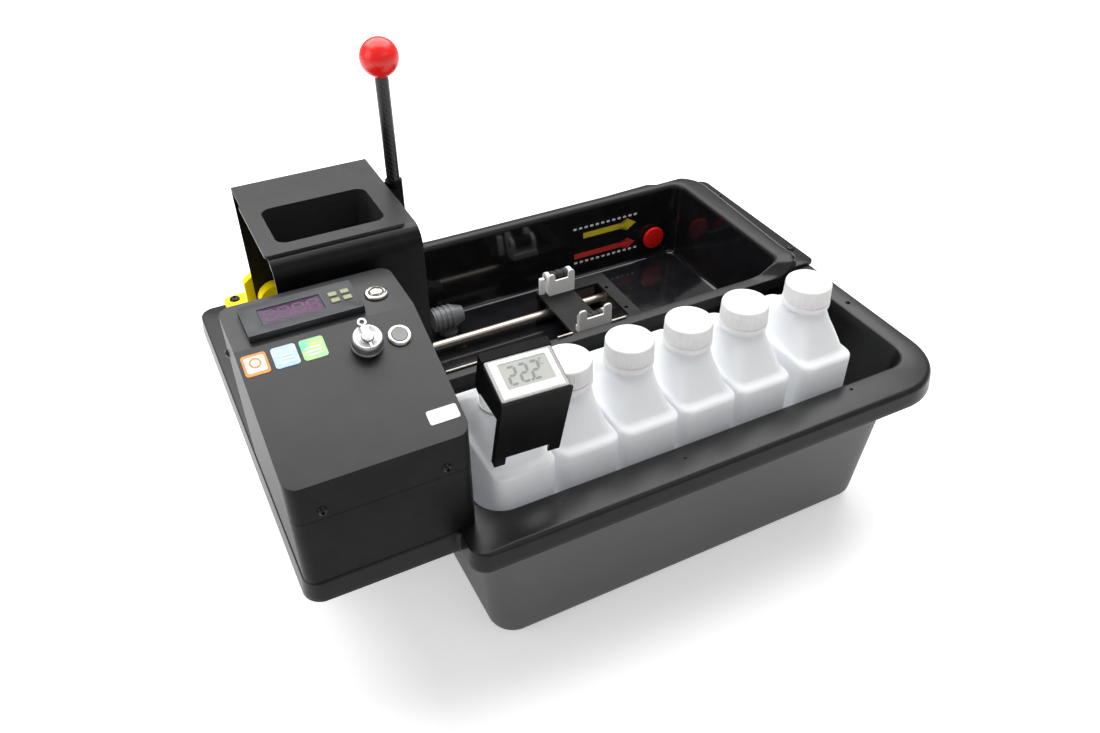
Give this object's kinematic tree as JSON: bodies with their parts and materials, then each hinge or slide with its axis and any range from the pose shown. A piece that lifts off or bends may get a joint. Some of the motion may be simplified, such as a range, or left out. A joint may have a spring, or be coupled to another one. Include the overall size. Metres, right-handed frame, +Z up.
{
  "type": "semi-automatic film processor",
  "caption": "Water bath with a tilting motor lift and funnel, a sliding roller carriage, a trough of bottles and a sloping control box with a knob and buttons.",
  "frame": {"origin": "centre of the bounding box's footprint, on the surface that the rubber feet stand on", "axes": "+Z up, +X to the right along the tub's long side, +Y to the back; the bottles are at the front and the control box is at the left"},
  "size_m": [0.5306, 0.3726, 0.398],
  "materials": {
    "tub": "satin",
    "tray": "gloss",
    "steel": "polished",
    "screw_black": "satin",
    "foot_rubber": "matt",
    "black_plastic": "satin",
    "back_label": "printed",
    "red_plastic": "gloss",
    "heater_steel": "polished",
    "nozzle_grey": "translucent",
    "box_paint": "fine texture",
    "thermostat_grey": "satin",
    "display": "gloss",
    "key_olive": "matt",
    "button_steel": "polished",
    "cap_grey": "satin",
    "knob_silver": "polished",
    "control_grey": "satin",
    "sticker": "printed",
    "yellow_plastic": "satin",
    "hood_paint": "satin",
    "motor_grey": "satin",
    "brass": "machined",
    "gear_white": "satin",
    "carbon": "woven, satin",
    "white_plastic": "satin",
    "roller_rubber": "matt",
    "bottle_white": "translucent",
    "cap_white": "satin"
  },
  "bodies": {
    "chassis": {"outer_tub": "tub", "bath_tray": "tray", "ridge_strip": "steel", "button_screws": "screw_black", "rubber_feet": "foot_rubber", "power_housing": "black_plastic", "power_inlet": "black_plastic", "level_label": "back_label", "heater_rod": "heater_steel", "pump_body": "black_plastic", "pump_nozzle": "nozzle_grey", "box_base": "box_paint", "box_cover": "box_paint", "thermostat_case": "thermostat_grey", "display_window": "display", "pump_bezel": "button_steel", "low_speed_bezel": "button_steel", "speed_control": "control_grey", "panel_labels": "sticker", "pivot_bracket_rear": "yellow_plastic", "pivot_bracket_front": "yellow_plastic", "pivot_pins": "steel"},
    "power_rocker": {"power_rocker": "black_plastic"},
    "wall_plug": {"wall_plug": "red_plastic"},
    "key_1": {"key_1": "key_olive"},
    "key_2": {"key_2": "key_olive"},
    "key_3": {"key_3": "key_olive"},
    "key_4": {"key_4": "key_olive"},
    "pump_button": {"pump_cap": "button_steel"},
    "low_speed_button": {"low_speed_cap": "cap_grey"},
    "speed_knob": {"speed_knob": "knob_silver"},
    "lift": {"lift_hood": "hood_paint", "drive_plate": "hood_paint", "drive_motor": "motor_grey", "funnel": "black_plastic", "lever_clamp": "screw_black", "lever_tube": "carbon", "lever_ball": "red_plastic"},
    "motor_pinion": {"motor_pinion": "brass"},
    "coupling": {"coupling_gear": "gear_white", "tank_coupling": "black_plastic"},
    "carriage": {"carriage_plate": "black_plastic", "roller_brackets": "white_plastic", "roller_pins": "steel"},
    "front_roller": {"front_roller": "roller_rubber"},
    "rear_roller": {"rear_roller": "roller_rubber"},
    "thermometer": {"thermometer_holder": "black_plastic", "holder_ring": "black_plastic", "thermometer_module": "white_plastic"},
    "bottle_1": {"bottle_1": "bottle_white"},
    "bottle_2": {"bottle_2": "bottle_white"},
    "bottle_3": {"bottle_3": "bottle_white"},
    "bottle_4": {"bottle_4": "bottle_white"},
    "bottle_5": {"bottle_5": "bottle_white"},
    "bottle_6": {"bottle_6": "bottle_white"},
    "cap_2": {"cap_2": "cap_white"},
    "cap_3": {"cap_3": "cap_white"},
    "cap_4": {"cap_4": "cap_white"},
    "cap_5": {"cap_5": "cap_white"},
    "cap_6": {"cap_6": "cap_white"}
  },
  "joints": [
    {"name": "power_rocker_tilt", "type": "hinge", "parent": "chassis", "child": "power_rocker", "pos_m": [-0.1872, 0.1633, 0.073], "axis": [1, 0, 0], "range_deg": [0, 14]},
    {"name": "wall_plug_pull", "type": "slide", "parent": "chassis", "child": "wall_plug", "axis": [0, -1, 0], "range_m": [0, 0.015]},
    {"name": "key_1_press", "type": "slide", "parent": "chassis", "child": "key_1", "axis": [0, 0, 1], "range_m": [-0.0006, 0], "stiffness_N_per_m": 200, "springref_m": 0.0005},
    {"name": "key_2_press", "type": "slide", "parent": "chassis", "child": "key_2", "axis": [0, 0, 1], "range_m": [-0.0006, 0], "stiffness_N_per_m": 200, "springref_m": 0.0005},
    {"name": "key_3_press", "type": "slide", "parent": "chassis", "child": "key_3", "axis": [0, 0, 1], "range_m": [-0.0006, 0], "stiffness_N_per_m": 200, "springref_m": 0.0005},
    {"name": "key_4_press", "type": "slide", "parent": "chassis", "child": "key_4", "axis": [0, 0, 1], "range_m": [-0.0006, 0], "stiffness_N_per_m": 200, "springref_m": 0.0005},
    {"name": "pump_button_press", "type": "slide", "parent": "chassis", "child": "pump_button", "axis": [0, 0, 1], "range_m": [-0.0016, 0], "stiffness_N_per_m": 250, "springref_m": 0.001},
    {"name": "low_speed_button_press", "type": "slide", "parent": "chassis", "child": "low_speed_button", "axis": [0, -0.3867, 0.9222], "range_m": [-0.0016, 0], "stiffness_N_per_m": 250, "springref_m": 0.001},
    {"name": "speed_knob_turn", "type": "hinge", "parent": "chassis", "child": "speed_knob", "pos_m": [-0.1847, -0.08694, 0.26893], "axis": [0, -0.3867, 0.9222], "range_deg": [-140, 140]},
    {"name": "lift_pivot", "type": "hinge", "parent": "chassis", "child": "lift", "pos_m": [-0.2062, 0.0553, 0.188], "axis": [0, -1, 0], "range_deg": [0, 80]},
    {"name": "coupling_spin", "type": "hinge", "parent": "lift", "child": "coupling", "pos_m": [-0.1182, 0.0853, 0.178], "axis": [1, 0, 0], "continuous": true},
    {"name": "pinion_spin", "type": "hinge", "parent": "lift", "child": "motor_pinion", "pos_m": [-0.1277, 0.05705, 0.19302], "axis": [1, 0, 0], "continuous": true},
    {"name": "carriage_slide", "type": "slide", "parent": "chassis", "child": "carriage", "axis": [1, 0, 0], "range_m": [-0.05, 0.08]},
    {"name": "front_roller_spin", "type": "hinge", "parent": "carriage", "child": "front_roller", "pos_m": [0.0563, 0.0478, 0.123], "axis": [1, 0, 0], "continuous": true},
    {"name": "rear_roller_spin", "type": "hinge", "parent": "carriage", "child": "rear_roller", "pos_m": [0.0593, 0.1248, 0.123], "axis": [1, 0, 0], "continuous": true},
    {"name": "bottle_1_lift", "type": "slide", "parent": "chassis", "child": "bottle_1", "axis": [0, 0, 1], "range_m": [0, 0.22]},
    {"name": "bottle_2_lift", "type": "slide", "parent": "chassis", "child": "bottle_2", "axis": [0, 0, 1], "range_m": [0, 0.22]},
    {"name": "bottle_3_lift", "type": "slide", "parent": "chassis", "child": "bottle_3", "axis": [0, 0, 1], "range_m": [0, 0.22]},
    {"name": "bottle_4_lift", "type": "slide", "parent": "chassis", "child": "bottle_4", "axis": [0, 0, 1], "range_m": [0, 0.22]},
    {"name": "bottle_5_lift", "type": "slide", "parent": "chassis", "child": "bottle_5", "axis": [0, 0, 1], "range_m": [0, 0.22]},
    {"name": "bottle_6_lift", "type": "slide", "parent": "chassis", "child": "bottle_6", "axis": [0, 0, 1], "range_m": [0, 0.22]},
    {"name": "cap_2_lift", "type": "slide", "parent": "bottle_2", "child": "cap_2", "axis": [0, 0, 1], "range_m": [0, 0.03]},
    {"name": "cap_3_lift", "type": "slide", "parent": "bottle_3", "child": "cap_3", "axis": [0, 0, 1], "range_m": [0, 0.03]},
    {"name": "cap_4_lift", "type": "slide", "parent": "bottle_4", "child": "cap_4", "axis": [0, 0, 1], "range_m": [0, 0.03]},
    {"name": "cap_5_lift", "type": "slide", "parent": "bottle_5", "child": "cap_5", "axis": [0, 0, 1], "range_m": [0, 0.03]},
    {"name": "cap_6_lift", "type": "slide", "parent": "bottle_6", "child": "cap_6", "axis": [0, 0, 1], "range_m": [0, 0.03]},
    {"name": "thermometer_lift", "type": "slide", "parent": "bottle_1", "child": "thermometer", "axis": [0, 0, 1], "range_m": [0, 0.05]}
  ],
  "couplings": [
    {"joint": "pinion_spin", "follows": "coupling_spin", "ratio": -3}
  ]
}
